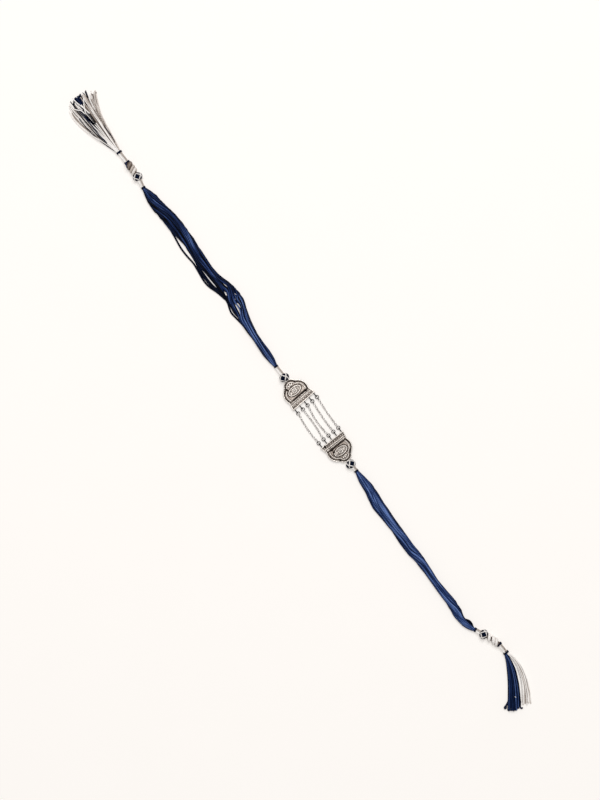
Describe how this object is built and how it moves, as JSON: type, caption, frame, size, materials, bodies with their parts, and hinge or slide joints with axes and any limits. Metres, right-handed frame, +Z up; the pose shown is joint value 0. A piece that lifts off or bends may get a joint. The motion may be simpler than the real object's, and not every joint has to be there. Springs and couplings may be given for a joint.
{
  "type": "rakhi thread bracelet",
  "caption": "Thread bracelet with two cast silver plates joined by fine chains, navy silk ties with ball knots, and navy and white tassels, laid out open.",
  "frame": {"origin": "the middle of the pendant's underside, on the surface that the bracelet lies on", "axes": "+X along the bracelet to the tassel that the picture shows at the upper right, +Z up from the surface, out of the pendant's face"},
  "size_m": [0.3042, 0.0157, 0.0037],
  "materials": {
    "oxidised_silver": "cast silver, darkened in its recesses and polished on its high places",
    "navy_silk": "lustrous twisted navy silk thread",
    "white_silk": "soft off-white twisted silk thread"
  },
  "bodies": {
    "root": {"plate_left": "oxidised_silver", "plate_right": "oxidised_silver", "chain_1": "oxidised_silver", "chain_2": "oxidised_silver", "chain_3": "oxidised_silver", "chain_4": "oxidised_silver", "chain_5": "oxidised_silver", "ball_inner_left": "navy_silk", "neck_inner_left": "white_silk", "collar_inner_left": "navy_silk", "bundle_left": "navy_silk", "collar_outer_left": "navy_silk", "neck_outer_left": "white_silk", "ball_outer_left": "navy_silk", "knot_left": "white_silk", "wrap_ring_left": "navy_silk", "neck_tassel_left": "white_silk", "wrap_tassel_left": "navy_silk", "tassel_white_left": "white_silk", "tassel_navy_left": "navy_silk", "ball_inner_right": "navy_silk", "neck_inner_right": "white_silk", "collar_inner_right": "navy_silk", "bundle_right": "navy_silk", "collar_outer_right": "navy_silk", "neck_outer_right": "white_silk", "ball_outer_right": "navy_silk", "knot_right": "white_silk", "wrap_ring_right": "navy_silk", "neck_tassel_right": "white_silk", "wrap_tassel_right": "navy_silk", "tassel_white_right": "white_silk", "tassel_navy_right": "navy_silk"}
  },
  "joints": []
}
